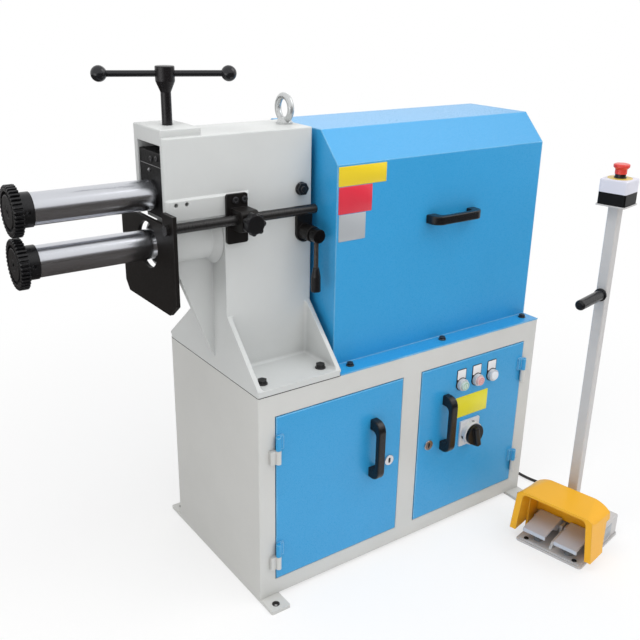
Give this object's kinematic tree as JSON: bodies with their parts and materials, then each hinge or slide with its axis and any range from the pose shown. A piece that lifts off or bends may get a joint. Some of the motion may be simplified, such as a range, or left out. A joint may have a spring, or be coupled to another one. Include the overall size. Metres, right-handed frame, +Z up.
{
  "type": "electric bead roller",
  "caption": "Motor driven bead roller: a steel cabinet with doors, a cast head holding paired forming shafts, a drive hood, and a pedal stand with an emergency stop.",
  "frame": {"origin": "on the floor, at the centre of the four floor bolt holes in the cabinet's foot strips", "axes": "+X along the shafts from the forming rolls to the motor, +Y away from the doors, +Z up"},
  "size_m": [1.3464, 0.7993, 1.1475],
  "materials": {
    "grey_paint": "satin powder coat",
    "blue_paint": "satin powder coat",
    "cast_paint": "painted casting",
    "dark_paint": "dark grey enamel",
    "zinc": "zinc plated",
    "black_steel": "black oxide",
    "ground_steel": "ground",
    "steel": "machined",
    "bare_cast": "machined casting",
    "chrome": "polished",
    "black_plastic": "moulded",
    "black_gloss": "moulded ball",
    "green_plastic": "moulded",
    "red_plastic": "moulded",
    "white_plastic": "translucent",
    "grey_plastic": "moulded",
    "yellow_paint": "powder coat",
    "pedal_alloy": "cast, smooth tread",
    "cable": "sheath",
    "motor_paint": "enamel",
    "electrics": "moulded"
  },
  "bodies": {
    "machine_frame": {"cabinet_shell": "grey_paint", "foot_strips": "grey_paint", "column_casting": "cast_paint", "hex_bolts": "black_steel", "rear_hood": "blue_paint", "hood_handle": "black_plastic", "eye_bolt": "zinc", "pivot_pins": "black_steel", "rod_bracket": "black_steel", "lever_housing": "black_steel", "drive_motor": "motor_paint", "gearbox": "dark_paint", "motor_stand": "grey_paint", "hinge_knuckles": "grey_paint", "control_gear": "electrics", "cable_gland": "black_plastic", "pedal_base": "grey_paint", "pedal_guard": "yellow_paint", "stand_post": "grey_paint", "post_grip": "black_plastic", "estop_box": "black_plastic", "estop_cover": "grey_plastic", "pedal_cord": "cable"},
    "arm": {"upper_arm": "bare_cast"},
    "upper_spindle": {"upper_shaft": "ground_steel", "upper_collar": "black_steel", "upper_roll": "black_steel", "upper_roll_screw": "black_steel", "upper_gear": "steel"},
    "sleeve": {"lower_sleeve": "steel"},
    "lower_spindle": {"lower_shaft": "ground_steel", "lower_collar": "black_steel", "lower_roll": "black_steel", "lower_roll_screw": "black_steel", "lower_gear": "steel", "drive_gear": "steel"},
    "pinion_shaft": {"pinion": "steel"},
    "screw_block": {"thrust_block": "steel"},
    "screw": {"feed_screw": "black_steel", "tommy_bar": "black_gloss"},
    "depth_stop": {"stop_plate": "black_steel", "gauge_rod": "black_steel"},
    "clamp_knob": {"star_knob": "black_plastic"},
    "lever": {"shift_lever": "black_steel", "lever_grip": "black_plastic"},
    "left_door_leaf": {"left_door": "blue_paint", "left_door_handle": "black_plastic"},
    "left_lock_barrel": {"left_lock": "chrome"},
    "right_door_leaf": {"right_door": "blue_paint", "right_door_handle": "black_plastic", "button_bezels": "chrome", "isolator_base": "grey_plastic", "panel_lamp": "white_plastic"},
    "right_lock_barrel": {"right_lock": "chrome"},
    "isolator": {"isolator_knob": "black_plastic"},
    "start": {"start_button": "green_plastic"},
    "stop": {"stop_button": "red_plastic"},
    "estop": {"estop_button": "red_plastic"},
    "pedal_left": {"left_pedal": "pedal_alloy"},
    "pedal_right": {"right_pedal": "pedal_alloy"}
  },
  "joints": [
    {"name": "feed_turn", "type": "hinge", "parent": "screw_block", "child": "screw", "pos_m": [-0.502, -0.013, 1.1325], "axis": [0, 0, 1], "range_deg": [0, 720]},
    {"name": "screw_lift", "type": "slide", "parent": "machine_frame", "child": "screw_block", "axis": [0, 0, 1], "range_m": [0, 0.01]},
    {"name": "arm_tilt", "type": "hinge", "parent": "machine_frame", "child": "arm", "pos_m": [-0.2365, -0.013, 0.898], "axis": [0, 1, 0], "range_deg": [0, 2.2]},
    {"name": "upper_spin", "type": "hinge", "parent": "arm", "child": "upper_spindle", "pos_m": [-0.5, -0.013, 0.908], "axis": [1, 0, 0], "continuous": true},
    {"name": "sleeve_shift", "type": "slide", "parent": "machine_frame", "child": "sleeve", "axis": [1, 0, 0], "range_m": [-0.0006, 0.0028]},
    {"name": "lower_spin", "type": "hinge", "parent": "sleeve", "child": "lower_spindle", "pos_m": [-0.5, -0.013, 0.81], "axis": [1, 0, 0], "continuous": true},
    {"name": "pinion_spin", "type": "hinge", "parent": "machine_frame", "child": "pinion_shaft", "pos_m": [-0.12, -0.013, 0.6897], "axis": [1, 0, 0], "continuous": true},
    {"name": "lever_turn", "type": "hinge", "parent": "machine_frame", "child": "lever", "pos_m": [-0.2315, -0.1, 0.808], "axis": [0, -1, 0], "range_deg": [-35, 8]},
    {"name": "gauge_slide", "type": "slide", "parent": "machine_frame", "child": "depth_stop", "axis": [1, 0, 0], "range_m": [-0.14, 0]},
    {"name": "knob_turn", "type": "hinge", "parent": "machine_frame", "child": "clamp_knob", "pos_m": [-0.391, -0.14, 0.8575], "axis": [0, -1, 0], "range_deg": [0, 180]},
    {"name": "left_door_swing", "type": "hinge", "parent": "machine_frame", "child": "left_door_leaf", "pos_m": [-0.376, -0.209, 0.25], "axis": [0, 0, -1], "range_deg": [0, 110]},
    {"name": "left_lock_turn", "type": "hinge", "parent": "left_door_leaf", "child": "left_lock_barrel", "pos_m": [-0.064, -0.2, 0.254], "axis": [0, -1, 0], "range_deg": [0, 90]},
    {"name": "right_door_swing", "type": "hinge", "parent": "machine_frame", "child": "right_door_leaf", "pos_m": [0.373, -0.209, 0.25], "axis": [0, 0, 1], "range_deg": [0, 40]},
    {"name": "right_lock_turn", "type": "hinge", "parent": "right_door_leaf", "child": "right_lock_barrel", "pos_m": [0.061, -0.2, 0.254], "axis": [0, 1, 0], "range_deg": [0, 90]},
    {"name": "isolator_turn", "type": "hinge", "parent": "right_door_leaf", "child": "isolator", "pos_m": [0.197, -0.225, 0.253], "axis": [0, -1, 0], "range_deg": [0, 90]},
    {"name": "start_press", "type": "slide", "parent": "right_door_leaf", "child": "start", "axis": [0, 1, 0], "range_m": [0, 0.004], "stiffness_N_per_m": 800, "springref_m": -0.002},
    {"name": "stop_press", "type": "slide", "parent": "right_door_leaf", "child": "stop", "axis": [0, 1, 0], "range_m": [0, 0.004], "stiffness_N_per_m": 800, "springref_m": -0.002},
    {"name": "estop_press", "type": "slide", "parent": "machine_frame", "child": "estop", "axis": [0, 0, -1], "range_m": [0, 0.006], "stiffness_N_per_m": 1500, "springref_m": -0.002},
    {"name": "left_pedal_press", "type": "hinge", "parent": "machine_frame", "child": "pedal_left", "pos_m": [0.32943, -0.38495, 0.034], "axis": [0.2079, -0.9781, 0], "range_deg": [0, 10], "stiffness_Nm_per_rad": 2.5, "springref_deg": -17.19},
    {"name": "right_pedal_press", "type": "hinge", "parent": "machine_frame", "child": "pedal_right", "pos_m": [0.3469, -0.46712, 0.034], "axis": [0.2079, -0.9781, 0], "range_deg": [0, 10], "stiffness_Nm_per_rad": 2.5, "springref_deg": -17.19}
  ],
  "couplings": [
    {"joint": "feed_turn", "follows": "screw_lift", "rad_per_m": 1256.6},
    {"joint": "arm_tilt", "follows": "screw_lift", "rad_per_m": 3.7647},
    {"joint": "upper_spin", "follows": "lower_spin", "ratio": -1},
    {"joint": "pinion_spin", "follows": "lower_spin", "ratio": -3},
    {"joint": "lever_turn", "follows": "sleeve_shift", "rad_per_m": -212.77}
  ]
}
